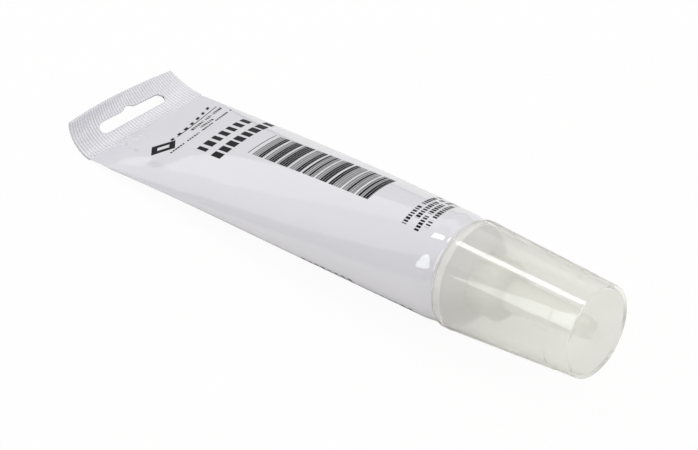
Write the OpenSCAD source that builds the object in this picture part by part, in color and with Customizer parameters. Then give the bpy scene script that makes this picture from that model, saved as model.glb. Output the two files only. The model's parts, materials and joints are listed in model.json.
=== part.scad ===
/* [Tube] */
// Outer diameter of the tube at its round end
tube_d = 35; // [25:0.5:50]
// Distance from the cap's rim to the line where the tail is pressed flat
body_len = 151.5; // [100:0.5:220]
// Thickness of the plastic film that the tube is made of
film_t = 0.5; // [0.3:0.05:0.8]
// How the filled tube thins toward its tail, where 1 is a straight wedge
taper_power = 1.05; // [0.8:0.05:1.4]
// Rise of the filled middle above the straight line from end to end
belly_rise = 0.9; // [0:0.1:3]
// Swell of the filled front half and draw-in of the rear half, to each side
belly_swell = 0.5; // [0:0.1:1.5]
// Radius of the rounded edge where the film turns onto the shoulder
edge_r = 1.1; // [0.3:0.1:2]

/* [Sealed tail] */
// Length of the pressed strip, measured along its curl
seal_len = 17; // [12:0.5:28]
// Thickness of the pressed strip
seal_t = 0.9; // [0.5:0.05:1.4]
// Height of the seal line above the axis of the tube
seal_rise = 1.6; // [0:0.1:6]
// Slope of the strip where it leaves the tube, in degrees
curl_start = 3; // [0:1:15]
// Slope of the strip at its near free corner, in degrees
curl_near = 116; // [25:1:130]
// Slope of the strip at its far free corner, in degrees
curl_far = 34; // [25:1:130]
// Distance from one pressed rib to the next
rib_pitch = 0.95; // [0.8:0.05:3]
// Height of the pressed ribs
rib_h = 0.16; // [0.04:0.02:0.4]

/* [Hang slot] */
// Length of the hang slot across the tail
slot_len = 30.5; // [15:0.5:40]
// Height of the hang slot along the strip
slot_h = 4.5; // [3:0.1:6]
// Width of the notch in the middle of the slot
notch_w = 7; // [4:0.5:12]
// Depth of the notch toward the free edge
notch_h = 1.2; // [0.2:0.1:2]
// Distance from the seal line to the middle of the slot
slot_at = 8.2; // [5:0.1:12]

/* [Shoulder and neck] */
// Length of the round land that the cap slides over
land_len = 2.1; // [1.5:0.1:6]
// Radius of the rounding between the land and the sloping shoulder
shoulder_r = 0.8; // [0.2:0.1:1.5]
// Height of the sloping shoulder
shoulder_h = 3.4; // [1:0.1:8]
// Width of the flat ring round the foot of the neck
neck_foot = 1; // [0.2:0.1:2]
// Outer diameter of the neck
neck_d = 12.8; // [9:0.1:16]
// Length of the neck above the shoulder
neck_len = 9.3; // [6:0.1:14]
// Thickness of the foil disc that closes the neck
foil_t = 0.2; // [0.05:0.05:0.5]

/* [Nozzle] */
// Length of the nozzle from its skirt to its closed tip
nozzle_len = 38.7; // [30:0.1:60]
// Wall of the threaded skirt
skirt_wall = 2.8; // [1.5:0.1:4]
// Chamfer round the end of the skirt, and plain edge at each end of its grip ribs
skirt_edge = 0.5; // [0.2:0.1:1]
// Height of the grip ribs on the skirt
grip_h = 0.4; // [0.1:0.05:0.8]
// Number of grip ribs round the skirt
grip_count = 24; // [8:1:36]
// Outer diameter where the cone rises from the skirt
cone_base_d = 10.8; // [9:0.1:12]
// Outer diameter of the cone at its tip
tip_d = 6.4; // [5:0.1:8]
// Wall of the cone
cone_wall = 1.1; // [0.6:0.1:1.6]
// Thickness of the plastic that closes the tip
tip_t = 2; // [1:0.1:4]
// Radius of the rounding round the tip
tip_r = 1.4; // [0.2:0.1:2]

/* [Cap] */
// Wall of the cap where it grips the land
rim_wall = 1.15; // [0.8:0.05:2]
// Wall of the cap between the rim and the closed end
cap_wall = 1; // [0.6:0.05:1.5]
// Thickness of the closed end
cap_end_t = 1; // [0.6:0.1:3]
// Outer diameter of the closed end
cap_end_d = 28.8; // [24:0.1:33]
// Width of the raised band round the rim
band_w = 2.4; // [1:0.1:6]
// Height of the raised band
band_h = 0.12; // [0.05:0.01:0.4]
// Distance from the closed end to the fine step round the wall
step_at = 8.3; // [4:0.1:15]
// Height of the fine step
step_h = 0.15; // [0.05:0.01:0.4]
// Radius of the rounded outer edge of the closed end
cap_edge_r = 0.5; // [0.1:0.1:1]

/* [Clearances] */
// Gap between the end of the film and the cap's rim
rim_gap = 0.3; // [0.1:0.05:0.6]
// Gap on the radius between the land and the cap
cap_fit = 0.05; // [0.02:0.01:0.1]
// Gap on the radius between the neck and the nozzle
neck_fit = 0.06; // [0.02:0.01:0.1]
// Gap between the shoulder and the nozzle's skirt
skirt_gap = 0.3; // [0.1:0.05:0.6]
// Gap between the foil and the seat inside the nozzle
seat_gap = 0.05; // [0.02:0.01:0.1]
// Gap between the nozzle's tip and the closed end of the cap
tip_gap = 1.55; // [0.2:0.05:3]

/* [Hidden] */
$fn = 96;

// The origin of the working frame is the centre of the cap's rim, with +X
// along the axis of the tube and toward the closed end of the cap.
tube_r = tube_d/2;
film_end = -rim_gap;
film_round = film_end - edge_r;
land_r = tube_r - edge_r;
land_end = film_end + land_len;
shoulder_start = land_end + shoulder_r;
shoulder_end = shoulder_start + shoulder_h;
neck_r = neck_d/2;
neck_end = shoulder_end + neck_len;
foil_end = neck_end + foil_t;

skirt_start = shoulder_end + skirt_gap;
bore_r = neck_r + neck_fit;
skirt_r = bore_r + skirt_wall;
seat_x = foil_end + seat_gap;
cone_start = seat_x + (skirt_r - cone_base_d/2)/2;
tip_x = skirt_start + nozzle_len;
channel_r = cone_base_d/2 - cone_wall;

cap_bore_r = land_r + cap_fit;
rim_r = cap_bore_r + rim_wall;
cap_end_r = cap_end_d/2;
cap_inner_end = tip_x + tip_gap;
cap_len = cap_inner_end + cap_end_t;
cap_bore_len = shoulder_start + cap_fit;
step_x = cap_len - step_at;

// Rounding of the cap's rim, chamfer behind its land, run of its small steps
// for each unit of their rise, and what a cut reaches past its solid
rim_edge_r = 0.3;
lead_in = 0.2;
step_run = 2;
overcut = 1;

// The flattened tube keeps the perimeter of the round one. An oval with half
// axes a and b has a quarter perimeter close to (a^k + b^k)^(1/k), which is
// exact for a circle and for a flat strip.
film_quarter = PI*(tube_r - film_t)/2;
oval_k = ln(2)/ln(PI/2);
seal_w = 2*film_quarter;
wave_h = rib_h/2;
film_end_b = seal_t/2;

// Each flat facet of the film's oval meets a whole number of ribs, and each
// rib is two columns of the pressed strip, one on its crest and one in a dip.
rib_fit = floor(seal_w/rib_pitch);
oval_sides = 56;
facet_ribs = max(1, round(2*rib_fit/oval_sides));
half_sides = ceil(rib_fit/facet_ribs);
film_sides = 2*half_sides;
columns = 2*facet_ribs*half_sides;

// Rows of the strip before, across and after the hang slot
rows_before = 4;
rows_after = 4;
slot_row = rows_before;
rows = rows_before + 1 + rows_after;

// Rings round the film's front edge and along its length
edge_steps = 4;
film_stations = 30;
film_rings = edge_steps + film_stations + 1;

// The ribs fade into the film over this length before the seal line.
rib_fade = 1.2;
fade_share = 1 - rib_fade/(body_len + film_round);

// Columns of the strip that the hang slot opens
first_open = ceil((0.5 - slot_len/2/seal_w)*columns);
last_open = columns - first_open;

// The tube lies on its floor with its front end and with the line where its
// tail begins to curl upward. In the plane of the axis the floor touches two
// circles: the gentler curl, and the rounded front edge of the film or the
// rounded edge of the cap's rim, whichever reaches lower.
curl_rho = seal_len*180/PI/(min(curl_near, curl_far) - curl_start);
film_foot = [film_round, -land_r, edge_r];
rim_foot = [rim_edge_r, rim_edge_r - rim_r, rim_edge_r];
tilt = max(rest_tilt(film_foot), rest_tilt(rim_foot));
lift = max(foot_depth(film_foot), foot_depth(rim_foot));

// The part is centred between the cap's lower front edge and its tail.
front_x = cos(tilt)*(cap_len - cap_edge_r) + sin(tilt)*(cap_end_r - cap_edge_r) + cap_edge_r;
back_x = min([
    for (j = [0:columns], i = [0:rows], face = [-1, 1])
        let (p = strip_vertex(j, i, face))
        p[0]*cos(tilt) - p[2]*sin(tilt)
]);
shift = -(front_x + back_x)/2;

function mix(a, b, t) = a + (b - a)*t;

// Points of a circular arc in a profile, as [radius, height]
function arc(cr, cz, r, from, to, steps = 6) = [
    for (i = [0:steps])
        let (a = mix(from, to, i/steps))
        [cr + r*cos(a), cz + r*sin(a)]
];

// Tilt at which a floor touches a foot, given as [x, z, radius], and the curl
function rest_tilt(foot) =
    let (
        a = foot[0] + body_len - curl_rho*sin(curl_start),
        b = foot[1] - seal_rise - curl_rho*cos(curl_start),
        r = foot[2] - (curl_rho + seal_t/2 + wave_h)
    )
    asin(r/norm([a, b])) - atan2(b, a);

// Depth of a foot's lowest point below the centre of the cap's rim
function foot_depth(foot) = foot[2] - sin(tilt)*foot[0] - cos(tilt)*foot[1];

// Point of the filled film at share u of its length and angle t round it
function film_point(u, t) =
    let (
        inner_b = (tube_r - film_t)*pow(1 - u, taper_power),
        inner_a = pow(pow(film_quarter, oval_k) - pow(inner_b, oval_k), 1/oval_k),
        a = inner_a + film_t*(1 - u) + belly_swell*sin(360*u),
        b = inner_b + mix(film_t, film_end_b, u),
        rise = seal_rise*u + belly_rise*4*u*(1 - u)
    )
    [mix(film_round, -body_len, u), a*cos(t), b*sin(t) + rise];

// Point of the pressed strip at width y, at distance s along its curl from the
// seal line and at height w above its middle
function tail_point(y, s, w) =
    let (
        turn = (mix(curl_near, curl_far, y/seal_w + 0.5) - curl_start)/seal_len,
        slope = curl_start + turn*s,
        rho = 180/PI/turn
    )
    [
        -body_len - rho*(sin(slope) - sin(curl_start)) + w*sin(slope),
        y,
        seal_rise + rho*(cos(curl_start) - cos(slope)) + w*cos(slope)
    ];

// Width coordinate of a column of the strip
function column_y(j) = seal_w*(j/columns - 0.5);

// Half height of the hang slot at width y. It rounds off toward both ends,
// and beyond them it keeps its last value, which only guides the rows.
function slot_half(y) =
    let (
        r = slot_h/2,
        inside = min(abs(y), column_y(last_open)),
        over = max(inside - (slot_len/2 - r), 0)
    )
    sqrt(r*r - over*over);

// Height of the smooth notch in the middle of the slot at width y
function notch_at(y) = abs(y) < notch_w/2 ? notch_h*(1 + cos(360*y/notch_w))/2 : 0;

// Distance of row i from the seal line, at width y
function row_s(y, i) =
    let (low = slot_at - slot_half(y), high = slot_at + slot_half(y) + notch_at(y))
    i <= slot_row
        ? low*i/rows_before
        : mix(high, seal_len, (i - slot_row - 1)/rows_after);

// Corner of the strip's mesh on its upper (1) or lower (-1) face. Both faces
// share the wave of the ribs.
function strip_vertex(j, i, face) =
    tail_point(column_y(j), row_s(column_y(j), i), face*seal_t/2 + wave_h*(j%2 == 0 ? -1 : 1));

// Index of a corner of the strip's mesh
function upper(j, i) = film_rings*film_sides + 2*(i*(columns + 1) + j);
function lower(j, i) = upper(j, i) + 1;

// Two triangles between a pair of neighbours and the next pair along
function patch(a, b, next_a, next_b) = [[a, b, next_b], [a, next_b, next_a]];

// Closed skin of the filled film and its pressed tail. The film's rings run
// from the front edge to just before the seal line. There each facet fans out
// to the rib columns, and the strip's two faces close round the hang slot.
module film_skin() {
    front = [
        for (i = [0:edge_steps - 1], j = [0:film_sides - 1])
            let (a = 90*i/edge_steps, r = land_r + edge_r*sin(a), t = 360*j/film_sides)
            [film_round + edge_r*cos(a), r*cos(t), r*sin(t)]
    ];
    body = [
        for (i = [0:film_stations], j = [0:film_sides - 1])
            film_point(fade_share*i/film_stations, 360*j/film_sides)
    ];
    strip = [
        for (i = [0:rows], j = [0:columns], face = [1, -1])
            strip_vertex(j, i, face)
    ];
    front_cap = [for (j = [film_sides - 1:-1:0]) j];
    film = [
        for (i = [0:film_rings - 2], j = [0:film_sides - 1])
            let (a = i*film_sides + j, b = i*film_sides + (j + 1)%film_sides)
            each patch(a, b, a + film_sides, b + film_sides)
    ];
    last_ring = (film_rings - 1)*film_sides;
    fan = 2*facet_ribs;
    fans = [
        for (side = [0, 1], k = [0:half_sides - 1])
            let (
                a = last_ring + side*half_sides + k,
                b = last_ring + (side*half_sides + k + 1)%film_sides,
                p = [for (m = [0:fan]) side == 0 ? upper(columns - fan*k - m, 0) : lower(fan*k + m, 0)]
            )
            each concat(
                [for (m = [1:facet_ribs]) [a, p[m], p[m - 1]]],
                [[a, b, p[facet_ribs]]],
                [for (m = [facet_ribs + 1:fan]) [b, p[m], p[m - 1]]]
            )
    ];
    tips = [
        [last_ring + half_sides, lower(0, 0), upper(0, 0)],
        [last_ring, upper(columns, 0), lower(columns, 0)]
    ];
    faces = [
        for (i = [0:rows - 1], j = [0:columns - 1])
            if (i != slot_row || j < first_open || j >= last_open)
                each concat(
                    patch(upper(j + 1, i), upper(j, i), upper(j + 1, i + 1), upper(j, i + 1)),
                    patch(lower(j, i), lower(j + 1, i), lower(j, i + 1), lower(j + 1, i + 1))
                )
    ];
    free_edge = [
        for (j = [0:columns - 1])
            each patch(upper(j + 1, rows), upper(j, rows), lower(j + 1, rows), lower(j, rows))
    ];
    side_edges = [
        for (i = [0:rows - 1])
            each concat(
                patch(upper(0, i), lower(0, i), upper(0, i + 1), lower(0, i + 1)),
                patch(lower(columns, i), upper(columns, i), lower(columns, i + 1), upper(columns, i + 1))
            )
    ];
    slot_edges = [
        for (j = [first_open:last_open - 1])
            let (near = slot_row, far = slot_row + 1)
            each concat(
                patch(upper(j + 1, near), upper(j, near), lower(j + 1, near), lower(j, near)),
                patch(upper(j, far), upper(j + 1, far), lower(j, far), lower(j + 1, far))
            )
    ];
    slot_ends = let (i = slot_row, a = first_open, b = last_open) concat(
        patch(lower(a, i), upper(a, i), lower(a, i + 1), upper(a, i + 1)),
        patch(upper(b, i), lower(b, i), upper(b, i + 1), lower(b, i + 1))
    );
    polyhedron(
        concat(front, body, strip),
        concat([front_cap], film, fans, tips, faces, free_edge, side_edges, slot_edges, slot_ends)
    );
}

// Turned shape about the axis of the tube, from a profile of [radius, x]
module turned(profile) {
    rotate([0, 90, 0])
        rotate_extrude()
            polygon(profile);
}

// Working frame laid down on its floor
module lying() {
    translate([shift, 0, lift])
        rotate([0, -tilt, 0])
            children();
}

// Soft film tube with its filling and its ribbed, pressed tail
module tube_body() {
    color([0.87, 0.87, 0.90])
        lying()
            film_skin();
}

// Moulded shoulder with its land for the cap and its neck
module tube_head() {
    color([0.90, 0.90, 0.92])
        lying()
            turned(concat(
                [[0, film_end], [land_r, film_end]],
                arc(land_r - shoulder_r, land_end, shoulder_r, 0, 90),
                [[neck_r + neck_foot, shoulder_end], [neck_r, shoulder_end], [neck_r, neck_end], [0, neck_end]]
            ));
}

// Foil disc that closes the neck
module neck_seal() {
    color([0.80, 0.81, 0.83])
        lying()
            turned([[0, neck_end], [neck_r, neck_end], [neck_r, foil_end], [0, foil_end]]);
}

// Conical nozzle with a closed tip and a ribbed skirt that screws on the neck
module nozzle() {
    grip_r = 1.5*grip_h;
    grip_start = skirt_start + skirt_edge;
    grip_len = seat_x - 2*skirt_edge - grip_start;
    tip_centre = tip_d/2 - tip_r;
    channel_tip_r = tip_d/2 - cone_wall;
    color([0.86, 0.88, 0.80])
        lying() {
            difference() {
                union() {
                    turned(concat(
                        [[0, skirt_start], [skirt_r, skirt_start], [skirt_r, seat_x - skirt_edge]],
                        [[skirt_r - skirt_edge, seat_x], [cone_base_d/2, cone_start]],
                        arc(tip_centre, tip_x - tip_r, tip_r, 0, 90),
                        [[0, tip_x]]
                    ));
                    for (i = [0:grip_count - 1])
                        rotate([360*i/grip_count, 0, 0])
                            translate([grip_start, 0, skirt_r + grip_h - grip_r])
                                rotate([0, 90, 0])
                                    cylinder(r = grip_r, h = grip_len, $fn = 24);
                }
                turned([
                    [0, skirt_start - overcut], [bore_r, skirt_start - overcut], [bore_r, seat_x],
                    [channel_r, seat_x], [channel_tip_r, tip_x - tip_t], [0, tip_x - tip_t]
                ]);
            }
        }
}

// Tapered, see-through cap with a closed flat end
module overcap() {
    wall_r = rim_r - band_h;
    step_r = mix(wall_r, cap_end_r, step_x/cap_len);
    color([0.84, 0.85, 0.79, 0.5])
        lying()
            difference() {
                turned(concat(
                    [[0, 0]],
                    arc(rim_r - rim_edge_r, rim_edge_r, rim_edge_r, -90, 0),
                    [[rim_r, band_w], [wall_r, band_w + step_run*band_h]],
                    [[step_r + step_h/2, step_x], [step_r - step_h/2, step_x + step_run*step_h]],
                    arc(cap_end_r - cap_edge_r, cap_len - cap_edge_r, cap_edge_r, 0, 90),
                    [[0, cap_len]]
                ));
                turned([
                    [0, -overcut], [cap_bore_r, -overcut], [cap_bore_r, cap_bore_len],
                    [cap_bore_r - lead_in, cap_bore_len + lead_in],
                    [step_r - cap_wall, step_x], [cap_end_r - cap_wall, cap_inner_end],
                    [0, cap_inner_end]
                ]);
            }
}

tube_body();
tube_head();
neck_seal();
nozzle();
overcap();
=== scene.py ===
"""Looks of a sealant squeeze tube: printed film, ribbed tail, nozzle and see-through cap."""

import json
import logging
import math
from dataclasses import dataclass
from enum import Enum
from typing import Any, Iterable, Mapping, NamedTuple, Sequence

import bpy
import numpy as np
from mathutils import Matrix, Quaternion, Vector


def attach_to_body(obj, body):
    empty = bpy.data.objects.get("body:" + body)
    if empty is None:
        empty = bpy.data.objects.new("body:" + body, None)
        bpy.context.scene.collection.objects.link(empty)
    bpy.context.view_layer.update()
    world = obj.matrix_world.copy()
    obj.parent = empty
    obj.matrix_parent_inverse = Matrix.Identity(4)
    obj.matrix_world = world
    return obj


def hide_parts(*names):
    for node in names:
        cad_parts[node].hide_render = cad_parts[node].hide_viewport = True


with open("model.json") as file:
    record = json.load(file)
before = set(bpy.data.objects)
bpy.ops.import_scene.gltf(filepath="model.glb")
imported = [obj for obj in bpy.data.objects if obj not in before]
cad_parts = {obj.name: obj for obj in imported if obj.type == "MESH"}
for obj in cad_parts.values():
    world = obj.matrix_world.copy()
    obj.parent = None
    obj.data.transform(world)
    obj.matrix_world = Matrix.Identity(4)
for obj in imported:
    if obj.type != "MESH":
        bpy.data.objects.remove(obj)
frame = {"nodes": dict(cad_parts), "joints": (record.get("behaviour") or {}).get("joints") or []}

log = logging.getLogger("tube")

MM = 0.001
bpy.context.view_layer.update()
WRAP_LAYER = "Wrap"

Colour = tuple[float, float, float]
Point = tuple[float, float, float]


class Body(Enum):
    """The bodies that the pieces ride on."""

    TUBE = "tube"
    NOZZLE = "nozzle"
    CAP = "overcap"


class Reach(Enum):
    """What a lamp adds to: all shading, only gloss or only matt shading."""

    ALL = "all"
    GLOSS = "gloss"
    MATT = "matt"


class Slot(Enum):
    """Material slot labels, one for each new piece."""

    FILM = "film"
    HEAD = "head"
    NOZZLE = "nozzle"
    CAP = "cap"


# Shader expressions


class Value:
    """A shader socket that Python's operators can work on."""

    def __init__(self, shader: "Shader", socket: bpy.types.NodeSocket) -> None:
        """Wrap one socket of a shader."""
        self.shader = shader
        self.socket = socket

    def math(self, operation: str, *operands: "Operand") -> "Value":
        """Result of a new Math node on the operands."""
        inputs = dict(enumerate(operands))
        return self.shader.node("ShaderNodeMath", inputs, operation=operation)

    def __add__(self, other: "Operand") -> "Value":
        """Sum."""
        return self.math("ADD", self, other)

    def __radd__(self, other: "Operand") -> "Value":
        """Sum with a number on the left."""
        return self.math("ADD", other, self)

    def __sub__(self, other: "Operand") -> "Value":
        """Difference."""
        return self.math("SUBTRACT", self, other)

    def __rsub__(self, other: "Operand") -> "Value":
        """Difference with a number on the left."""
        return self.math("SUBTRACT", other, self)

    def __mul__(self, other: "Operand") -> "Value":
        """Product."""
        return self.math("MULTIPLY", self, other)

    def __truediv__(self, other: "Operand") -> "Value":
        """Quotient."""
        return self.math("DIVIDE", self, other)

    def __abs__(self) -> "Value":
        """Absolute value."""
        return self.math("ABSOLUTE", self)

    def floor(self) -> "Value":
        """Whole part."""
        return self.math("FLOOR", self)

    def fraction(self) -> "Value":
        """Part after the point."""
        return self.math("FRACT", self)

    def clamped(self) -> "Value":
        """The value, kept between 0 and 1."""
        return self.math("MAXIMUM", self.math("MINIMUM", self, 1.0), 0.0)

    def either(self, other: "Operand") -> "Value":
        """The larger of two masks."""
        return self.math("MAXIMUM", self, other)

    def above(self, edge: "Operand", soft: float) -> "Value":
        """Mask that rises from 0 to 1 across an edge.

        Args:
            edge: The value at the middle of the rise.
            soft: Half the width of the rise.

        Returns:
            The mask.
        """
        if isinstance(edge, Value):
            return (self - edge).above(0.0, soft)
        inputs = {"Value": self, "From Min": edge - soft, "From Max": edge + soft}
        return self.shader.node("ShaderNodeMapRange", inputs, interpolation_type="SMOOTHSTEP")

    def within(self, middle: "Operand", half: "Operand", soft: float) -> "Value":
        """Mask of the values no further than half from the middle."""
        return 1.0 - abs(self - middle).above(half, soft)


Operand = Value | float


class Shader:
    """The shader of a material or of the world, under construction."""

    def __init__(self, owner: bpy.types.Material | bpy.types.World) -> None:
        """Start with no nodes.

        Args:
            owner: The material or the world.
        """
        self.owner = owner
        owner.use_nodes = True
        self.tree = owner.node_tree
        self.tree.nodes.clear()

    @classmethod
    def named(cls, name: str) -> "Shader":
        """The shader of a new material."""
        return cls(bpy.data.materials.new(name))

    def node(
        self,
        kind: str,
        inputs: Mapping[Any, Any] | None = None,
        output: int | str = 0,
        **settings: Any,
    ) -> Value:
        """Add any node.

        Args:
            kind: The node's type.
            inputs: Values or links of its sockets, by name or place.
            output: The output that is wanted, by name or place.
            **settings: Its own settings.

        Returns:
            That output, or the input at that place where the node has no output.
        """
        made = self.tree.nodes.new(kind)
        for key, value in settings.items():
            setattr(made, key, value)
        for key, value in (inputs or {}).items():
            self.feed(made.inputs[key], value)
        sockets = made.outputs if len(made.outputs) else made.inputs
        return Value(self, sockets[output])

    def feed(self, socket: bpy.types.NodeSocket, value: Any) -> None:
        """Link a value to a socket, or set the socket to it.

        Args:
            socket: The input socket.
            value: A shader value, a number, or the numbers of a colour.
        """
        if isinstance(value, Value):
            self.tree.links.new(value.socket, socket)
        elif socket.type == "RGBA" and len(value) == 3:
            socket.default_value = (*value, 1.0)
        else:
            socket.default_value = value

    def mix(self, factor: Operand, low: Any, high: Any) -> Value:
        """Mix two colours, each a link or three numbers."""
        inputs = {0: factor, 6: low, 7: high}
        return self.node("ShaderNodeMix", inputs, 2, data_type="RGBA", clamp_factor=True)

    def blend(self, factor: Operand, low: Value, high: Value) -> Value:
        """Blend two surfaces."""
        return self.node("ShaderNodeMixShader", {0: factor, 1: low, 2: high})

    def principled(self, **inputs: Any) -> Value:
        """Principled surface. An input's name has _ for each space."""
        named = {key.replace("_", " "): value for key, value in inputs.items()}
        return self.node("ShaderNodeBsdfPrincipled", named)

    def random(self, number: Value) -> Value:
        """A random number from 0 to 1 for each number."""
        return self.node("ShaderNodeTexWhiteNoise", {"W": number}, noise_dimensions="1D")

    def noise(self, place: Value, scale: float, detail: float = 2.0) -> Value:
        """Smooth noise from 0 to 1."""
        inputs = {"Vector": place, "Scale": scale, "Detail": detail}
        return self.node("ShaderNodeTexNoise", inputs, "Fac")

    def bump(self, height: Value, distance: float) -> Value:
        """Normal of a small relief, with its distance in metres."""
        return self.node("ShaderNodeBump", {"Height": height, "Distance": distance})

    def place(self) -> Value:
        """Coordinates in the object's own metres."""
        return self.node("ShaderNodeTexCoord", output="Object")

    def finish(self, surface: Value) -> bpy.types.Material | bpy.types.World:
        """Link the surface to the output.

        Args:
            surface: The outermost shader.

        Returns:
            The finished material or world.
        """
        kind = "World" if isinstance(self.owner, bpy.types.World) else "Material"
        self.node("ShaderNodeOutput" + kind, {"Surface": surface})
        return self.owner


def scaled(colour: Colour, factor: float) -> Colour:
    """A colour made lighter or darker."""
    return tuple(factor * channel for channel in colour)


# Meshes


@dataclass(frozen=True)
class TubeAxis:
    """The tube's own frame: origin at the centre of the cap's rim, +X toward the closed end.

    It is found again in the row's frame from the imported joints.
    """

    nozzle_joint_at: float = 15.0

    def matrix(self) -> Matrix:
        """Turn and shift from the tube's frame to the row's.

        Returns:
            The matrix, in metres.
        """
        joints = {joint["name"]: joint for joint in frame["joints"]}
        axis = Vector(joints["cap_pull"]["axis"]).normalized()
        side = Vector((0.0, 1.0, 0.0))
        turn = Matrix((axis, side, axis.cross(side))).transposed()
        origin = Vector(joints["nozzle_unscrew"]["pos_m"]) - axis * self.nozzle_joint_at * MM
        return Matrix.Translation(origin) @ turn.to_4x4()

    def place(self, points: np.ndarray) -> np.ndarray:
        """Bring points in millimetres of the tube's frame to the row's frame in metres."""
        m = np.array(self.matrix())
        return points * MM @ m[:3, :3].T + m[:3, 3]


AXIS = TubeAxis()
LONGEST_CUT = 0.49
NEAR = 1e-6


def new_piece(
    name: str, points: np.ndarray, faces: Iterable[Sequence[int]], material: bpy.types.Material
) -> bpy.types.Object:
    """Make a smooth mesh object from points of the tube's frame.

    Args:
        name: The piece's name.
        points: Its corners in millimetres, one row each.
        faces: Rings of corner numbers.
        material: Its material.

    Returns:
        The new object, linked to the scene.
    """
    mesh = bpy.data.meshes.new(name)
    mesh.from_pydata(AXIS.place(points).tolist(), [], [list(face) for face in faces])
    mesh.polygons.foreach_set("use_smooth", [True] * len(mesh.polygons))
    mesh.materials.append(material)
    mesh.validate()
    mesh.update()
    made = bpy.data.objects.new(name, mesh)
    bpy.context.scene.collection.objects.link(made)
    return made


def attach(piece: bpy.types.Object, body: Body, slot: Slot, *nodes: str) -> None:
    """Let a piece ride on its body and stand for its nodes.

    Args:
        piece: The piece.
        body: The body that carries it.
        slot: A material slot label; not used.
        *nodes: The nodes that it replaces.
    """
    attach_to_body(piece, body.value)
    if nodes:
        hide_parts(*nodes)
    log.info("%s: %d faces on %s", piece.name, len(piece.data.polygons), body.value)


def rounded(corners: Sequence[tuple[float, float, float]], steps: int = 6) -> np.ndarray:
    """Outline with rounded corners. A rounding takes less than half of the edge beside it.

    Args:
        corners: Each corner as x, radius from the axis, and the radius of its rounding.
        steps: Pieces in each rounding.

    Returns:
        The outline's points as x and radius.
    """
    out: list[np.ndarray] = []
    for i, (x, r, fillet) in enumerate(corners):
        here = np.array([x, r])
        if fillet <= 0 or i in (0, len(corners) - 1):
            out.append(here)
            continue
        back = np.array(corners[i - 1][:2]) - here
        on = np.array(corners[i + 1][:2]) - here
        back_len, on_len = np.linalg.norm(back), np.linalg.norm(on)
        back, on = back / back_len, on / on_len
        half = 0.5 * math.acos(float(np.clip(back @ on, -1, 1)))
        cut = min(fillet / math.tan(half), LONGEST_CUT * back_len, LONGEST_CUT * on_len)
        start, end = here + back * cut, here + on * cut
        for t in np.linspace(0, 1, steps + 1):
            out.append((1 - t) ** 2 * start + 2 * t * (1 - t) * here + t**2 * end)
    return np.array(out)


def closed(grid: np.ndarray) -> np.ndarray:
    """Rows of corner numbers, each ending with its first again."""
    return np.hstack([grid, grid[:, :1]])


def quads(*rows: np.ndarray) -> list[tuple[int, ...]]:
    """Faces between neighbouring rows of corner numbers.

    Args:
        *rows: The rows, all of one length.

    Returns:
        The faces, row by row.
    """
    grid = np.array(rows)
    corners = (grid[:-1, :-1], grid[:-1, 1:], grid[1:, 1:], grid[1:, :-1])
    return [tuple(face) for face in np.stack(corners, -1).reshape(-1, 4).tolist()]


def lathe(
    profile: np.ndarray, sides: int, relief: np.ndarray | None = None
) -> tuple[np.ndarray, list[tuple[int, ...]]]:
    """Turn a closed outline about the axis.

    Args:
        profile: Points as x and radius. Points on the axis have radius 0, at its two ends.
        sides: Steps round the axis.
        relief: What each point and side adds to the radius.

    Returns:
        The corners and the faces.
    """
    turn = 2 * math.pi * np.arange(sides) / sides
    radius = np.repeat(profile[:, 1:2], sides, 1)
    if relief is not None:
        radius = radius + relief
    x = np.repeat(profile[:, 0:1], sides, 1)
    rings = np.stack([x, radius * np.cos(turn), radius * np.sin(turn)], 2)
    points: list[np.ndarray] = []
    index: list[list[int]] = []
    for ring, r in zip(rings, profile[:, 1]):
        first, pole = len(points), r <= 0
        points.extend(ring[:1] * (1, 0, 0) if pole else ring)
        index.append([first] * sides if pole else list(range(first, first + sides)))
    faces = [tuple(dict.fromkeys(face)) for face in quads(*closed(np.array(index)))]
    return np.array(points), [face for face in faces if len(face) > 2]


# Finishes


@dataclass(frozen=True)
class Wrap:
    """The film laid flat, in millimetres: x along the tube's axis and arc round it.

    The arc is 0 on the top line and grows toward the near side.
    """

    x: Value
    arc: Value

    @classmethod
    def of(cls, shader: Shader) -> "Wrap":
        """Read the film's own layer.

        Args:
            shader: The film's shader.

        Returns:
            The two coordinates.
        """
        layer = shader.node("ShaderNodeUVMap", uv_map=WRAP_LAYER)
        x = shader.node("ShaderNodeSeparateXYZ", {0: layer}, "X")
        return cls(x, Value(shader, x.socket.node.outputs["Y"]))


class Layout(NamedTuple):
    """What print is drawn with: its shader, skewed places in millimetres, half an edge's width."""

    s: Shader
    along: Value
    across: Value
    soft: float


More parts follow.
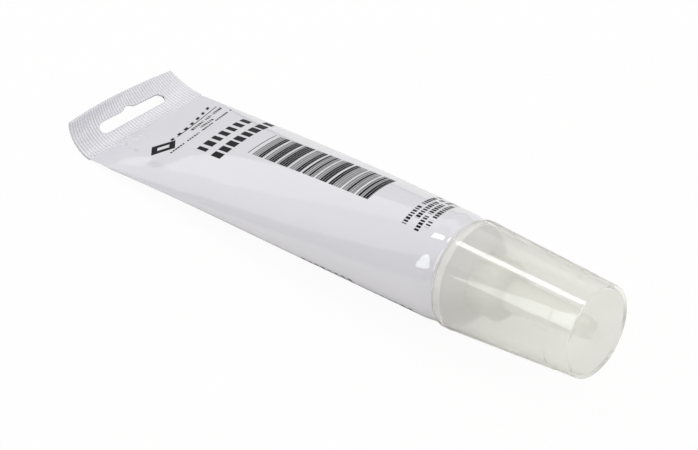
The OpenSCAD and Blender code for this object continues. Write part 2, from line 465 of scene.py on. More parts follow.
@dataclass(frozen=True)
class Row:
    """A line of small blocks in the place of a line of print, in millimetres.

    Its middle lies at middle + slope * across + bend * across**2. Blocks are a share of the
    pitch wide and vary at random. With a gap, each word of cells has one. The row can stand
    for several lines at the same pitch.
    """

    middle: float
    half: float
    start: float
    end: float
    pitch: float = 1.0
    share: float = 1.0
    vary: float = 0.0
    slope: float = 0.0
    bend: float = 0.0
    gap: float = 0.0
    lines: int = 1
    line_pitch: float = 1.0
    line_seed: float = 17.0
    word: float = 7.0
    gap_soft: float = 0.1

    def mask(self, at: Layout) -> Value:
        """Mask of the row's ink.

        Args:
            at: The print's layout.

        Returns:
            1 where there is ink.
        """
        s, along, across, soft = at
        height = along - self.middle
        if self.slope or self.bend:
            height = height - (across * self.bend + self.slope) * across
        seed = self.middle
        if self.lines > 1:
            line = (height / self.line_pitch + 0.5).floor()
            line = (line / (self.lines - 1)).clamped() * (self.lines - 1)
            height = height - line * self.line_pitch
            seed = line * self.line_seed + seed
        low, high = min(self.start, self.end), max(self.start, self.end)
        extent = across.within((low + high) / 2, (high - low) / 2, soft)
        ink = (1.0 - abs(height).above(self.half, soft)) * extent
        if self.share >= 1:
            return ink
        cell = (across - low) / self.pitch
        chance = s.random(cell.floor() + seed)
        off = abs(cell.fraction() - 0.5) * self.pitch
        width = chance * -self.vary * self.pitch / 2 + self.pitch * self.share / 2
        ink = ink * (1.0 - off.above(width, soft))
        if self.gap:
            word = (cell / self.word).floor()
            spot = s.random(word + seed + 0.5) * (self.word - 2.0) + 1.0
            ink = ink * abs(cell - word * self.word - spot).above(self.gap, self.gap_soft)
        return ink


@dataclass(frozen=True)
class Bars:
    """A field of bars of a made-up pattern, in millimetres.

    A cell holds one broad bar, or a fine one on a tint. Light gaps part the groups of cells,
    and one bar stands alone before the field.
    """

    first: float = -95.2
    groups: int = 9
    cells: int = 6
    pitch: float = 1.06
    near: float = 0.0
    far: float = -14.9
    broad_half: float = 0.49
    fine_half: float = 0.24
    fine_ink: float = 0.35
    tint: float = 0.4
    fine_share: float = 0.4
    seed: float = 21.0
    gap: float = 0.7
    gap_soft: float = 0.01
    sharp: float = 0.001
    lone: float = -97.2
    lone_half: float = 0.2

    def mask(self, at: Layout) -> Value:
        """Mask of the bars' ink.

        Args:
            at: The print's layout.

        Returns:
            The share of ink, from 0 to 1.
        """
        s, along, across, soft = at
        place = (along - self.first) / self.pitch
        off = abs(place.fraction() - 0.5) * self.pitch
        broad, fine = (1.0 - off.above(half, soft) for half in (self.broad_half, self.fine_half))
        wide = s.random(place.floor() + self.seed).above(self.fine_share, self.sharp)
        spot = (place / self.cells).fraction() * self.cells
        fine = fine * self.fine_ink + self.tint
        bar = wide * broad + (1.0 - wide) * fine
        bar = bar * (1.0 - spot.above(self.cells - self.gap, self.gap_soft))
        length = self.groups * self.cells * self.pitch
        field = along.within(self.first + length / 2, length / 2, soft)
        lone = along.within(self.lone, self.lone_half, soft)
        extent = across.within((self.near + self.far) / 2, (self.near - self.far) / 2, soft)
        return (bar * field).either(lone) * extent


@dataclass(frozen=True)
class Badge:
    """A slanted dark block with a light window, in millimetres.

    The window is given in shares of the block, and mean_half turns an edge's softness into
    such shares.
    """

    middle: tuple[float, float] = (-132.3, 11.7)
    long_half: tuple[float, float] = (2.9, -3.7)
    short_half: tuple[float, float] = (1.97, 1.92)
    window: tuple[float, float] = (0.5, 0.34)
    mean_half: float = 3.0

    def mask(self, at: Layout) -> Value:
        """Mask of the block's ink.

        Args:
            at: The print's layout.

        Returns:
            1 where there is ink.
        """
        (a, b), (c, d) = self.long_half, self.short_half
        size = a * d - b * c
        x, y = at.along - self.middle[0], at.across - self.middle[1]
        p, q = (x * d - y * c) / size, (y * a - x * b) / size
        soft = at.soft / self.mean_half
        block = p.within(0.0, 1.0, soft) * q.within(0.0, 1.0, soft)
        window = p.within(0.0, self.window[0], soft) * q.within(0.0, self.window[1], soft)
        return block * (1.0 - window)


@dataclass(frozen=True)
class Printing:
    """The print on the film.

    It stands a little askew on the tube, so it is laid out in skewed coordinates.
    """

    row_skew: float = 0.14
    row_pivot: float = -7.0
    arc_skew: float = 0.05
    arc_pivot: float = -90.0
    soft: float = 0.05
    ink: Colour = (0.008, 0.008, 0.010)
    bars: Bars = Bars()
    badge: Badge = Badge()
    rows: tuple[Row, ...] = (
        Row(-116.0, 2.55, 7.6, -18.9, 3.786, 0.84, 0.35),
        Row(-107.4, 2.5, 7.9, -22.9, 3.85, 0.88, 0.3),
        Row(-20.6, 0.9, 3.1, -18.0, 1.2, 0.86, 0.4, gap=0.5),
        Row(-17.9, 0.9, 0.4, -15.3, 1.2, 0.86, 0.4, gap=0.5),
        Row(-15.2, 0.9, 4.1, -19.0, 1.2, 0.86, 0.4, gap=0.5),
        Row(-12.5, 0.9, 1.2, -16.0, 1.2, 0.86, 0.4, gap=0.5),
        Row(-133.4, 0.75, 8.2, -18.9, 3.87, 0.5, 0.1, 0.121, -0.0079),
        Row(-132.6, 0.24, 4.1, -20.0, slope=0.060, bend=-0.0050),
        Row(-130.5, 0.7, -1.5, -20.5, 1.1, 0.86, 0.4, 0.040, -0.0050, 0.5),
        Row(-128.6, 0.65, -4.7, -11.8, 1.1, 0.84, 0.4, 0.0, -0.002),
        Row(-126.1, 0.45, 13.4, -21.6, 1.2, 0.92, 0.3, 0.020, -0.0049, 0.6),
        Row(-55.0, 0.8, 27.6, 71.0, 1.2, 0.86, 0.4, gap=0.5, lines=8, line_pitch=2.6),
        Row(-34.2, 0.8, 30.0, 71.0, 1.2, 0.86, 0.4, gap=0.5, lines=8, line_pitch=2.6),
    )

    def mask(self, s: Shader, wrap: Wrap) -> Value:
        """All ink on the film.

        Args:
            s: The film's shader.
            wrap: The film laid flat.

        Returns:
            1 where there is ink.
        """
        along = wrap.x - (wrap.arc - self.row_pivot) * self.row_skew
        across = wrap.arc - (wrap.x - self.arc_pivot) * self.arc_skew
        layout = Layout(s, along, across, self.soft)
        ink = self.badge.mask(layout)
        for row in (self.bars, *self.rows):
            ink = ink.either(row.mask(layout))
        return ink


@dataclass(frozen=True)
class Crease:
    """A straight fold in the film, from one place of its flat layout to another.

    Places are pairs of x and arc. A negative depth goes inward.
    """

    start: tuple[float, float]
    end: tuple[float, float]
    depth: float
    width: float

    def height(self, x: np.ndarray, arc: np.ndarray) -> np.ndarray:
        """Relief of the fold.

        Args:
            x: Places along the tube.
            arc: Places round the tube, from the top line.

        Returns:
            The height there, in millimetres.
        """
        step = (self.end[0] - self.start[0], self.end[1] - self.start[1])
        x, arc = x - self.start[0], arc - self.start[1]
        share = (x * step[0] + arc * step[1]) / (step[0] ** 2 + step[1] ** 2)
        share = np.clip(share, 0, 1)
        x, arc = x - share * step[0], arc - share * step[1]
        return self.depth * np.exp(-(x * x + arc * arc) / self.width**2)


@dataclass(frozen=True)
class FilmFinish:
    """Glossy white printed film with a faint mottle, duller on the pressed strip, with painted
    light on the strip and painted shade in its grooves.
    """

    rib_pitch: float
    colour: Colour = (0.68, 0.673, 0.71)
    # Colour of the faint random mottle and of the painted shade in the rib grooves.
    mottle_and_groove_shade: Colour = (0.0, 0.0, 0.0)
    mottle_and_groove_shade_share: float = 0.24
    cloud_scale: float = 28.0
    cloud_share: float = 0.125
    roughness: float = 0.05
    ior: float = 1.7
    strip_from: float = -151.3
    strip_soft: float = 0.4
    # Painted light: how much lighter the pressed strip's colour is made.
    strip_painted_light_gain: float = 1.1
    strip_roughness: float = 0.3
    swell_scale: float = 12.0
    swell_share: float = 0.25
    ink_roughness: float = 0.3
    ink_gloss: float = 0.05
    printing: Printing = Printing()

    def groove_shade_mask(self, wrap: Wrap) -> Value:
        """Mask of the grooves between the pressed ribs, where shade is painted."""
        turn = wrap.arc * (2 * math.pi / self.rib_pitch)
        return turn.math("COSINE", turn) * 0.5 + 0.5

    def make(self) -> bpy.types.Material:
        """Build the film's material.

        Returns:
            The material.
        """
        s = Shader.named("printed_film")
        wrap = Wrap.of(s)
        ink = self.printing.mask(s, wrap)
        place = s.place()
        cloud = s.noise(place, self.cloud_scale) * self.cloud_share
        strip = 1.0 - wrap.x.above(self.strip_from, self.strip_soft)
        # Darkening: a faint random mottle all over the film, and painted shade in the grooves
        # between the strip's ribs.
        mottle_and_groove_shade = cloud.either(strip * self.groove_shade_mask(wrap)) * self.mottle_and_groove_shade_share
        # Painted light: the pressed strip is made a little lighter than the rest of the film.
        colour_with_painted_strip_light = s.mix(strip, self.colour, scaled(self.colour, self.strip_painted_light_gain))
        swell = s.noise(place, self.swell_scale, 0.0) * self.swell_share
        skin = s.principled(
            Base_Color=s.mix(mottle_and_groove_shade, colour_with_painted_strip_light, self.mottle_and_groove_shade),
            Roughness=self.roughness + strip * self.strip_roughness,
            IOR=self.ior,
            Normal=s.bump(swell, MM),
        )
        coat = s.principled(
            Base_Color=self.printing.ink,
            Roughness=self.ink_roughness,
            Specular_IOR_Level=self.ink_gloss,
        )
        return s.finish(s.blend(ink, skin, coat))


@dataclass(frozen=True)
class SolidPlastic:
    """Moulded plastic that no light gets through."""

    name: str
    colour: Colour
    roughness: float
    cloud_scale: float = 60.0
    cloud_dim: float = 0.94
    cloud_roughness: float = 0.1
    grain_scale: float = 1500.0
    grain_depth: float = 0.004

    def make(self) -> bpy.types.Material:
        """Build the material.

        Returns:
            The material.
        """
        s = Shader.named(self.name)
        place = s.place()
        cloud = s.noise(place, self.cloud_scale)
        surface = s.principled(
            Base_Color=s.mix(cloud, self.colour, scaled(self.colour, self.cloud_dim)),
            Roughness=self.roughness + cloud * self.cloud_roughness,
            Normal=s.bump(s.noise(place, self.grain_scale), self.grain_depth * MM),
        )
        return s.finish(surface)


@dataclass(frozen=True)
class MilkyPlastic:
    """Moulded plastic that lets some light through and scatters the rest.

    Where it is seen almost edge on, a plain veil takes the place of its bending of light.
    That begins earlier on the inside of its walls.
    """

    name: str
    colour: Colour
    glow: Colour
    roughness: float
    transmission: float
    scatter: float
    ior: float
    coat: float
    coat_roughness: float = 0.03
    cloud_scale: float = 70.0
    cloud_detail: float = 3.0
    cloud_dim: float = 0.97
    cloud_roughness: float = 0.05
    veil: float = 0.5
    veil_shade: float = 0.8
    veil_from: float = 0.7
    veil_to: float = 0.92
    veil_inside: float = 0.25

    def make(self) -> bpy.types.Material:
        """Build the material.

        Returns:
            The material.
        """
        s = Shader.named(self.name)
        cloud = s.noise(s.place(), self.cloud_scale, self.cloud_detail)
        wall = s.principled(
            Base_Color=s.mix(cloud, self.colour, scaled(self.colour, self.cloud_dim)),
            Roughness=self.roughness + cloud * self.cloud_roughness,
            IOR=self.ior,
            Transmission_Weight=self.transmission,
            Coat_Weight=self.coat,
            Coat_Roughness=self.coat_roughness,
        )
        glow = s.node("ShaderNodeBsdfTranslucent", {"Color": self.glow})
        clear, haze = (scaled(c, self.veil_shade) for c in (self.colour, self.glow))
        clear = s.node("ShaderNodeBsdfTransparent", {"Color": clear})
        haze = s.node("ShaderNodeBsdfTranslucent", {"Color": haze})
        facing = s.node("ShaderNodeLayerWeight", {"Blend": 0.5}, "Facing")
        inside = s.node("ShaderNodeNewGeometry", output="Backfacing")
        facing = facing + inside * self.veil_inside
        edge = ((facing - self.veil_from) / (self.veil_to - self.veil_from)).clamped()
        body = s.blend(self.scatter, wall, glow)
        return s.finish(s.blend(edge, body, s.blend(self.veil, clear, haze)))


@dataclass(frozen=True)
class FoilFinish:
    """Bright foil with a fine grain."""

    light: Colour = (0.80, 0.81, 0.83)
    dark: Colour = (0.70, 0.71, 0.73)
    grain_scale: float = 700.0
    roughness: float = 0.25
    grain_roughness: float = 0.2

    def make(self) -> bpy.types.Material:
        """Build the foil's material.

        Returns:
            The material.
        """
        s = Shader.named("seal_foil")
        grain = s.noise(s.place(), self.grain_scale)
        surface = s.principled(
            Base_Color=s.mix(grain, self.light, self.dark),
            Metallic=1.0,
            Roughness=self.roughness + grain * self.grain_roughness,
        )
        return s.finish(surface)

    def dress(self, name: str) -> None:
        """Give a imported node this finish.

        Args:
            name: The node's name.
        """
        node = frame["nodes"][name]
        node.data.materials.clear()
        node.data.materials.append(self.make())
        log.info("%s: %d faces, new finish only", node.name, len(node.data.polygons))


# Pieces


@dataclass
class FilmTube:
    """Soft film tube: round at its head, pressed flat to a ribbed tail with a hang slot.

    Sizes are in millimetres of the tube's frame. curl is the strip's slope in degrees, at its
    start and at its end on the near and on the far side. notch is a width and a depth, and
    neck_in says from where to where the film is drawn in behind the cap, and how far.
    """

    tube_d: float = 35.0
    body_len: float = 151.5
    film_t: float = 0.5
    taper_power: float = 1.05
    belly_rise: float = 1.25
    belly_swell: float = 0.5
    fullness: float = 6.0
    fuller_width: float = 0.5
    edge_r: float = 1.1
    seal_len: float = 17.0
    seal_t: float = 0.9
    seal_rise: float = 1.6
    curl: tuple[float, float, float] = (3.0, 116.0, 34.0)
    rib_count: int = 44
    rib_h: float = 0.16
    slot_len: float = 30.5
    slot_h: float = 4.5
    slot_at: float = 8.2
    slot_clear: float = 0.02
    notch: tuple[float, float] = (7.0, 1.2)
    front: float = -0.3
    neck_in: tuple[float, float, float] = (-7.6, -2.6, 0.5)
    rib_fade: float = 1.2
    fold_fade: float = 0.8
    columns: int = 308
    section_samples: int = 4001
    head_zone: float = 8.0
    head_step: float = 0.5
    ring_step: float = 2.6
    tail_zone: float = 24.0
    tail_rings: int = 46
    tail_crowding: float = 1.35
    rows_before: int = 14
    rows_after: int = 11
    edge_rings: int = 6
    creases: tuple[Crease, ...] = (
        Crease((-150.6, 18.4), (-149.4, 15.4), -0.16, 0.7),
        Crease((-149.4, 15.4), (-147.6, 13.6), -0.22, 0.7),
        Crease((-147.6, 13.6), (-143.8, 14.3), -0.22, 0.7),
        Crease((-143.8, 14.3), (-138.6, 15.8), -0.16, 0.9),
        Crease((-151.0, 10.0), (-146.4, 9.2), 0.20, 0.55),
        Crease((-150.8, 7.0), (-147.4, 6.6), 0.14, 0.55),
        Crease((-150.8, 12.4), (-148.4, 11.2), 0.14, 0.6),
        Crease((-149.0, 3.0), (-145.0, 5.0), -0.12, 1.1),
        Crease((-52.0, 24.6), (-42.0, 24.4), -0.14, 2.2),
        Crease((-42.0, 24.4), (-34.5, 28.0), -0.16, 2.2),
        Crease((-138.0, 26.0), (-114.8, 21.8), 0.3, 3.6),
        Crease((-114.8, 21.8), (-60.0, 21.5), 0.3, 4.0),
        Crease((-60.0, 21.5), (-20.0, 23.5), 0.25, 4.0),
        Crease((-120.0, 18.0), (-94.0, 17.6), 0.35, 4.6),
        Crease((-94.0, 17.6), (-24.0, 16.6), 0.45, 4.6),
    )

    def __post_init__(self) -> None:
        """Work out what follows from the sizes."""
        self.quarter = math.pi * (self.tube_d / 2 - self.film_t) / 2
        self.width = 2 * self.quarter
        self.power = math.log(2) / math.log(math.pi / 2)
        self.rib_pitch = self.width / self.rib_count
        self.shoulder_x = self.front - self.edge_r

    def ring(self, u: float) -> tuple[np.ndarray, np.ndarray, np.ndarray]:
        """One ring of the film, with its points evenly spaced along it.

        Args:
            u: Share of the length, from the head to the seal line.

        Returns:
            The points' y, their z, and their distance from the top line.
        """
        inner_b = (self.tube_d / 2 - self.film_t) * max(1 - u, 0) ** self.taper_power
        inner_a = (self.quarter**self.power - inner_b**self.power) ** (1 / self.power)
        full = self.fullness * u * u * max(1 - u, 0)
        a = inner_a + self.film_t * (1 - u) + self.belly_swell * math.sin(2 * math.pi * u)
        a += self.fuller_width * full
        b = inner_b + self.film_t + (self.seal_t / 2 - self.film_t) * u + full
        rise = self.seal_rise * u + self.belly_rise * 4 * u * (1 - u)
        t = np.linspace(0, math.pi, self.section_samples)
        steps = np.hypot(np.diff(a * np.cos(t)), np.diff(b * np.sin(t)))
        path = np.concatenate([[0], np.cumsum(steps)])
        even = np.interp(np.linspace(0, path[-1], self.columns + 1), path, t)
        t = np.concatenate([even, math.pi + even[1:-1]])
        step = self.width / self.columns
        arc = (np.arange(2 * self.columns) - self.columns / 2) * step
        return a * np.cos(t), b * np.sin(t) + rise, arc

    def stations(self) -> np.ndarray:
        """Where the rings lie, closer near the head and toward the tail.

        Returns:
            Shares of the length, from the head on and without the seal line.
        """
        total = self.body_len + self.shoulder_x
        near_head = np.arange(0, self.head_zone, self.head_step)
        middle = np.arange(self.head_zone, total - self.tail_zone, self.ring_step)
        left = self.tail_zone * np.linspace(1, 0, self.tail_rings) ** self.tail_crowding
        near_tail = total - left
        near_tail = near_tail[near_tail > middle[-1] + self.head_step]
        return np.concatenate([near_head, middle, near_tail])[:-1] / total

    def shrink(self, x: float) -> float:
        """Factor on the section where the film is drawn in behind the cap.

        Args:
            x: Place of the section along the tube.

        Returns:
            The factor.
        """
        start, end, depth = self.neck_in
        t = min(max((x - start) / (end - start), 0.0), 1.0)
        return 1 - depth * (3 * t * t - 2 * t**3) / (self.tube_d / 2)

    def folded(
        self, x: float, arc: np.ndarray, y: np.ndarray, z: np.ndarray
    ) -> tuple[np.ndarray, np.ndarray]:
        """A ring pushed out and in by the folds.

        Args:
            x: Place of the ring along the tube.
            arc: The points' distance from the top line.
            y: The points' y.
            z: The points' z.

        Returns:
            The new y and z, within the tail's width.
        """
        height = sum(crease.height(np.full_like(arc, x), arc) for crease in self.creases)
        height = height * min(max((x + self.body_len) / self.fold_fade, 0.0), 1.0)
        across = np.roll(y, -1) - np.roll(y, 1)
        up = np.roll(z, -1) - np.roll(z, 1)
        size = np.hypot(across, up)
        y = np.clip(y + height * up / size, -self.width / 2, self.width / 2)
        return y, z - height * across / size

    def ribs(self, y: np.ndarray) -> np.ndarray:
        """Relief of the pressed ribs at width y."""
        turn = 2 * math.pi * self.rib_count * (y / self.width + 0.5)
        return -self.rib_h / 2 * np.cos(turn)

    def tail(self, y: np.ndarray, s: np.ndarray, w: np.ndarray) -> np.ndarray:
        """Points of the pressed strip.

        Args:
            y: Width coordinate.
            s: Distance along the curl from the seal line.
            w: Height above the middle of the strip.

        Returns:
            The points, one row each.
        """
        start, near, far = (math.radians(c) for c in self.curl)
        end = near + (far - near) * (y / self.width + 0.5)
        turn = (end - start) / self.seal_len
        slope = start + turn * s
        rho = 1 / turn
        x = -self.body_len - rho * (np.sin(slope) - math.sin(start)) + w * np.sin(slope)
        z = self.seal_rise + rho * (math.cos(start) - np.cos(slope)) + w * np.cos(slope)
        return np.stack([x, y, z], -1)

    def slot_edges(self, y: np.ndarray) -> tuple[np.ndarray, np.ndarray]:
        """The slot's two long edges.

        Args:
            y: Width coordinate.

        Returns:
            Their distances from the seal line at that width.
        """
        r = self.slot_h / 2
        inside = np.minimum(np.abs(y), self.slot_len / 2 - self.slot_clear)
        over = np.maximum(inside - (self.slot_len / 2 - r), 0)
        half = np.sqrt(r * r - over * over)
        width, depth = self.notch
        wave = depth * (1 + np.cos(2 * math.pi * y / width)) / 2
        bay = np.where(np.abs(y) < width / 2, wave, 0)
        return self.slot_at - half, self.slot_at + half + bay

    def build(self, material: bpy.types.Material) -> bpy.types.Object:
        """Make the film's mesh.

        Args:
            material: The film's material.

        Returns:
            The piece.
        """
        n = self.columns
        points: list[np.ndarray] = []
        wrap: list[np.ndarray] = []
        y0, z0, arc = self.ring(0.0)
        land_r = self.tube_d / 2 - self.edge_r
        for i in range(self.edge_rings):
            a = math.pi / 2 * i / self.edge_rings
            r = (land_r + self.edge_r * math.sin(a)) / (self.tube_d / 2) * self.shrink(0.0)
            x = np.full(2 * n, self.shoulder_x + self.edge_r * math.cos(a))
            points.append(np.stack([x, y0 * r, z0 * r], 1))
            wrap.append(np.stack([x, arc], 1))
        for u in self.stations():
            y, z, arc = self.ring(u)
            x = np.full(2 * n, self.shoulder_x + (-self.body_len - self.shoulder_x) * u)
            shrink = self.shrink(x[0])
            y, z = self.folded(x[0], arc, y * shrink, z * shrink)
            fade = np.clip(1 - (x + self.body_len) / self.rib_fade, 0, 1)
            points.append(np.stack([x, y, z + self.ribs(y) * fade], 1))
            wrap.append(np.stack([x, arc], 1))
        rings = np.arange(len(points) * 2 * n).reshape(-1, 2 * n)
        columns = self.width * (np.arange(n + 1) / n - 0.5)
        y = np.concatenate([columns[::-1], columns])
        side = np.repeat([1, -1], n + 1)
        w = side * self.seal_t / 2 + self.ribs(y)
        across = np.where(side > 0, -y, self.width + y)
        low, high = self.slot_edges(y)
        beyond = self.seal_len - high
        rows = [low * i / self.rows_before for i in range(self.rows_before + 1)]
        rows += [high + beyond * i / self.rows_after for i in range(self.rows_after + 1)]
        for s in rows:
            points.append(self.tail(y, s, w))
            wrap.append(np.stack([-self.body_len - s, across], 1))
        strip = rings.size + np.arange(len(rows) * len(y)).reshape(len(rows), -1)
        faces = self.faces(closed(rings), closed(strip), columns)
        piece = new_piece("film_tube", np.concatenate(points), faces, material)
        self.add_wrap(piece, np.concatenate(wrap))
        return piece

    def faces(
        self, rings: np.ndarray, strip: np.ndarray, columns: np.ndarray
    ) -> list[tuple[int, ...]]:
        """Faces of the film and the strip.

        Args:
            rings: Corner numbers of the film's rings, closed.
            strip: Corner numbers round the strip's rows, closed, its upper face first.
            columns: Width coordinates of the strip's columns.

        Returns:
            The faces, their outer side in. The slot has no wall at its two far ends.
        """
        n = self.columns
        upper, lower, last = strip[:, n::-1], strip[:, n + 1 : -1], rings[-1]
        out = [tuple(rings[0, :-1].tolist())[::-1], *quads(*rings)]
        out += quads(upper[0], last[n::-1]) + quads(last[n:], lower[0])
        out += [(last[n], lower[0, 0], upper[0, 0]), (last[0], upper[0, n], lower[0, n])]
        open_column = np.abs((columns[:-1] + columns[1:]) / 2) < self.slot_len / 2
        around = np.concatenate([open_column[::-1], [False], open_column, [False]])
        for i, (row, following) in enumerate(zip(strip, strip[1:])):
            band = quads(row, following)
            if i == self.rows_before:
                band = [face for face, is_open in zip(band, around) if not is_open]
                walls = quads(upper[i], lower[i]), quads(lower[i + 1], upper[i + 1])
                for wall in walls:
                    band += [face for face, is_open in zip(wall, open_column) if is_open]
            out += band
        return out + quads(lower[-1], upper[-1])

    def add_wrap(self, piece: bpy.types.Object, wrap: np.ndarray) -> None:
        """Store the place of each corner on the flat print.

        Args:
            piece: The film.
            wrap: Place along and round the tube of each corner, in millimetres.
        """
        mesh = piece.data
        loops = np.zeros(len(mesh.loops), np.int32)
        mesh.loops.foreach_get("vertex_index", loops)
        flat = wrap[loops]
        starts = np.zeros(len(mesh.polygons), np.int32)
        mesh.polygons.foreach_get("loop_start", starts)
        face = np.repeat(np.arange(len(starts)), np.diff(np.append(starts, len(loops))))
        middle = np.bincount(face, flat[:, 1]) / np.bincount(face)
        turn = 2 * self.width
        flat[:, 1] += turn * np.round((middle[face] - flat[:, 1]) / turn)
        layer = mesh.uv_layers.new(name=WRAP_LAYER, do_init=False)
        layer.uv.foreach_set("vector", flat.astype(np.float32).ravel())


@dataclass
class TubeHead:
    """Moulded shoulder with its land for the cap and its neck."""

    start: float = -0.3
    land_r: float = 16.4
    shoulder_end: float = 6.0
    foot_r: float = 7.4
    neck_r: float = 6.4
    neck_end: float = 15.3
    slope_start: float = 2.25
    sides: int = 192

    def build(self, material: bpy.types.Material) -> bpy.types.Object:
        """Make the head's mesh.

        Args:
            material: The head's material.

        Returns:
            The piece.
        """
        profile = rounded(
            [
                (self.start, 0, 0),
                (self.start, self.land_r, 0.15),
                (self.slope_start, self.land_r, 0.8),
                (self.shoulder_end, self.foot_r, 0.3),
                (self.shoulder_end, self.neck_r, 0.2),
                (self.neck_end, self.neck_r, 0.15),
                (self.neck_end, 0, 0),
            ]
        )
        return new_piece("shoulder_and_neck", *lathe(profile, self.sides), material)


@dataclass
class Nozzle:
    """Conical nozzle with a closed tip and a ribbed skirt."""

    skirt_start: float = 6.3
    skirt_r: float = 9.26
    bore_r: float = 6.46
    seat_x: float = 15.55
    edge: float = 0.5
    cone_r: float = 5.4
    cone_start: float = 17.48
    tip_x: float = 45.0
    tip_r: float = 3.2
    tip_round: float = 1.4
    channel_r: float = 4.3
    channel_tip_r: float = 2.1
    channel_end: float = 43.0
    grip_count: int = 24
    grip_h: float = 0.4
    grip_r: float = 0.6
    grip_rings: int = 9
    grip_sides: int = 16

    def build(self, material: bpy.types.Material) -> bpy.types.Object:
        """Make the nozzle's mesh.

        Args:
            material: The nozzle's material.

        Returns:
            The piece.
        """
        start, end = self.skirt_start, self.seat_x - self.edge
        grip = np.linspace(start + self.edge, end - self.edge, self.grip_rings)
        outline = rounded(
            [
                (start, self.bore_r, 0),
                (start, self.skirt_r, 0.15),
                *[(x, self.skirt_r, 0) for x in grip],
                (end, self.skirt_r, 0.15),
                (self.seat_x, self.skirt_r - self.edge, 0.3),
                (self.cone_start, self.cone_r, 0.5),
                (self.tip_x, self.tip_r, self.tip_round),
                (self.tip_x, 0, 0),
            ]
        )
        channel = rounded(
            [
                (self.channel_end, 0, 0),
                (self.channel_end, self.channel_tip_r, 0.5),
                (self.seat_x, self.channel_r, 0.2),
                (self.seat_x, self.bore_r, 0.1),
                (start, self.bore_r, 0),
            ]
        )
        profile = np.concatenate([channel[:-1], outline])
        sides = self.grip_count * self.grip_sides
        mesh = lathe(profile, sides, self.relief(profile, sides))
        return new_piece("nozzle_cone", *mesh, material)

    def relief(self, profile: np.ndarray, sides: int) -> np.ndarray:
        """What the grip ribs add to the radius of the skirt.

        Args:
            profile: The outline.
            sides: Steps round the axis.

        Returns:
            The relief at each point and side.
        """
        turn = np.arange(sides) / sides * self.grip_count
        off = (turn - np.round(turn)) * 2 * math.pi * self.skirt_r / self.grip_count
        bump = np.sqrt(np.maximum(self.grip_r**2 - off**2, 0)) - (self.grip_r - self.grip_h)
        x, r = profile.T
        first, last = self.skirt_start + self.edge, self.seat_x - 2 * self.edge
        on = (np.abs(r - self.skirt_r) < NEAR) & (x > first - NEAR) & (x < last + NEAR)
        return on[:, None] * np.maximum(bump, 0)[None, :]


@dataclass
class Cap:
    """Tapered, see-through cap with a closed flat end."""

    rim_r: float = 17.6
    band_w: float = 2.4
    band_h: float = 0.12
    bore_r: float = 16.45
    bore_len: float = 2.65
    step_x: float = 39.25
    step_r: float = 14.9
    step_h: float = 0.15
    wall: float = 1.0
    end_r: float = 14.37
    length: float = 47.53
    bore_slope: float = 0.2
    sides: int = 256

    def build(self, material: bpy.types.Material) -> bpy.types.Object:
        """Make the cap's mesh.

        Args:
            material: The cap's material.

        Returns:
            The piece.
        """
        wall_r = self.rim_r - self.band_h
        profile = rounded(
            [
                (self.length - self.wall, 0, 0),
                (self.length - self.wall, self.end_r - self.wall, 0.6),
                (self.step_x, self.step_r - self.wall, 0),
                (self.bore_len + self.bore_slope, self.bore_r - self.bore_slope, 0.1),
                (self.bore_len, self.bore_r, 0.1),
                (0, self.bore_r, 0.2),
                (0, self.rim_r, 0.3),
                (self.band_w, self.rim_r, 0.05),
                (self.band_w + 2 * self.band_h, wall_r, 0.05),
                (self.step_x, self.step_r + self.step_h / 2, 0.05),
                (self.step_x + 2 * self.step_h, self.step_r - self.step_h / 2, 0.05),
                (self.length, self.end_r, 0.5),
                (self.length, 0, 0),
            ]
        )
        return new_piece("clear_cap", *lathe(profile, self.sides), material)


# Stage


@dataclass(frozen=True)
class Softbox:
    """A rectangular lamp, in metres of the row's frame."""

    name: str
    place: Point
    aim: Point
    width: float
    height: float
    radiance: float
    colour: Colour = (1.0, 1.0, 1.0)
    spin: float = 0.0
    reach: Reach = Reach.ALL

    def build(self) -> None:
        """Add the lamp."""
        data = bpy.data.lights.new(self.name, "AREA")
        data.shape = "RECTANGLE"
        data.size, data.size_y = self.width, self.height
        data.energy = self.radiance * math.pi * self.width * self.height
        data.color = self.colour
        lamp = bpy.data.objects.new(self.name, data)
        lamp.location = self.place
        lamp.visible_diffuse = self.reach is not Reach.GLOSS
        lamp.visible_glossy = self.reach is not Reach.MATT
        lamp.rotation_mode = "QUATERNION"
        turn = (Vector(self.aim) - lamp.location).to_track_quat("-Z", "Y")
        lamp.rotation_quaternion = turn @ Quaternion((0.0, 0.0, 1.0), math.radians(self.spin))
        bpy.context.scene.collection.objects.link(lamp)


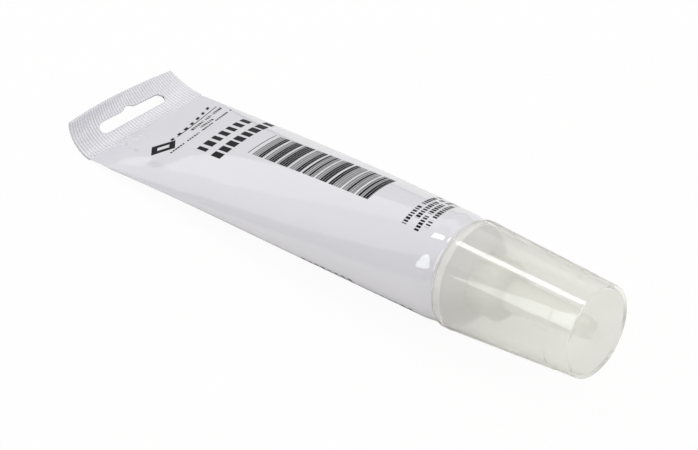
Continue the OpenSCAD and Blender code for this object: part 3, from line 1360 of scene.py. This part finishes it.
@dataclass(frozen=True)
class Studio:
    """Camera, pale floor, white surroundings and soft light.

    The camera's target and distance are in millimetres, its angles in degrees.
    """

    target: Point = (16.55, -7.49, 18.05)
    azimuth: float = 43.77
    elevation: float = 39.48
    roll: float = -1.2
    distance: float = 472.47
    lens: float = 77.36
    clip: tuple[float, float] = (0.01, 20.0)
    world: float = 0.36
    floor_half: float = 3.0
    floor_colour: Colour = (0.84, 0.83, 0.81)
    floor_white: float = 0.95

    def build_camera(self) -> None:
        """Place the camera as in the photograph."""
        a, e, r = (math.radians(v) for v in (self.azimuth, self.elevation, self.roll))
        back = Vector((math.sin(a) * math.cos(e), -math.cos(a) * math.cos(e), math.sin(e)))
        level = Vector((0, 0, 1)).cross(back).normalized()
        right = level * math.cos(r) + back.cross(level) * math.sin(r)
        turn = Matrix((right, back.cross(right), back)).transposed().to_4x4()
        place = (Vector(self.target) + back * self.distance) * MM
        data = bpy.data.cameras.new("camera")
        data.lens = self.lens
        data.clip_start, data.clip_end = self.clip
        camera = bpy.data.objects.new("camera", data)
        camera.matrix_world = Matrix.Translation(place) @ turn
        bpy.context.scene.collection.objects.link(camera)
        bpy.context.scene.camera = camera

    @staticmethod
    def seen(s: Shader) -> Value:
        """1 for light that goes to the camera, straight or through clear plastic."""
        rays = s.node("ShaderNodeLightPath").socket.node.outputs
        return Value(s, rays["Is Camera Ray"]).either(Value(s, rays["Is Transmission Ray"]))

    def build_world(self) -> None:
        """Light the scene evenly, on a white background."""
        s = Shader(bpy.data.worlds.new("studio"))
        strength = s.node("ShaderNodeMapRange", {"Value": self.seen(s), "To Min": self.world})
        background = s.node("ShaderNodeBackground", {"Strength": strength})
        bpy.context.scene.world = s.finish(background)

    def build_floor(self) -> None:
        """Lay the pale floor."""
        s = Shader.named("pale_floor")
        matt = s.node("ShaderNodeBsdfDiffuse", {"Color": self.floor_colour})
        white = s.node("ShaderNodeEmission", {"Color": (1.0, 1.0, 1.0), "Strength": 1.0})
        floor = s.finish(s.blend(self.seen(s) * self.floor_white, matt, white))
        mesh = bpy.data.meshes.new("floor")
        h = self.floor_half
        mesh.from_pydata([(-h, -h, 0), (h, -h, 0), (h, h, 0), (-h, h, 0)], [], [(0, 1, 2, 3)])
        mesh.materials.append(floor)
        plane = bpy.data.objects.new("floor", mesh)
        bpy.context.scene.collection.objects.link(plane)

    def build_lamps(self) -> None:
        """Hang the lamps."""
        cap = (0.085, 0.0, 0.02)
        cool = (0.93, 0.98, 1.0)
        lamps = (
            Softbox("canopy", (-1.05, 0.3, 1.0), (-1.05, 0.3, 0.0), 3.5, 2.6, 0.66),
            Softbox("backdrop", (-0.68, 1.32, 0.75), (0.0, 0.0, 0.35), 2.6, 1.4, 0.4),
            Softbox("fill", (1.35, 0.3, 0.7), (0.0, 0.0, 0.02), 1.2, 0.9, 3.0),
            Softbox("apron", (-0.4, -1.6, 0.3), (0.0, 0.0, 0.05), 2.6, 0.6, 2.0, reach=Reach.MATT),
            Softbox("key", (-0.425, 0.04, 0.88), cap, 0.15, 0.34, 8.0),
            Softbox("window", (-0.006, -0.328, 0.450), (0.196, 0.032, 0.279), 0.234, 0.542, 3.8,
                    colour=cool, spin=5.4, reach=Reach.GLOSS),
        )
        for lamp in lamps:
            lamp.build()

    def build(self) -> None:
        """Build all of the stage."""
        self.build_camera()
        self.build_world()
        self.build_floor()
        self.build_lamps()
        bpy.context.scene.view_settings.view_transform = "Standard"


def main() -> None:
    """Build the stage and every piece."""
    logging.basicConfig(level=logging.INFO, format="%(name)s %(message)s")
    Studio().build()
    tube = FilmTube()
    film = FilmFinish(tube.rib_pitch)
    attach(tube.build(film.make()), Body.TUBE, Slot.FILM, "tube_body")
    white = SolidPlastic("moulded_white", (0.66, 0.655, 0.67), 0.4)
    attach(TubeHead().build(white.make()), Body.TUBE, Slot.HEAD, "tube_head")
    milky = MilkyPlastic(
        name="milky_plastic",
        colour=(0.995, 0.995, 0.97),
        glow=(0.995, 0.995, 0.97),
        roughness=0.35,
        transmission=0.7,
        scatter=0.35,
        ior=1.2,
        coat=0.2,
    )
    attach(Nozzle().build(milky.make()), Body.NOZZLE, Slot.NOZZLE, "nozzle")
    clear = MilkyPlastic(
        name="clear_plastic",
        colour=(0.913, 0.91, 0.885),
        glow=(0.96, 0.95, 0.91),
        roughness=0.2,
        transmission=0.95,
        scatter=0.12,
        ior=1.25,
        coat=0.85,
        veil=0.75,
    )
    attach(Cap().build(clear.make()), Body.CAP, Slot.CAP, "overcap")
    FoilFinish().dress("neck_seal")


if __name__ == "__main__":
    main()
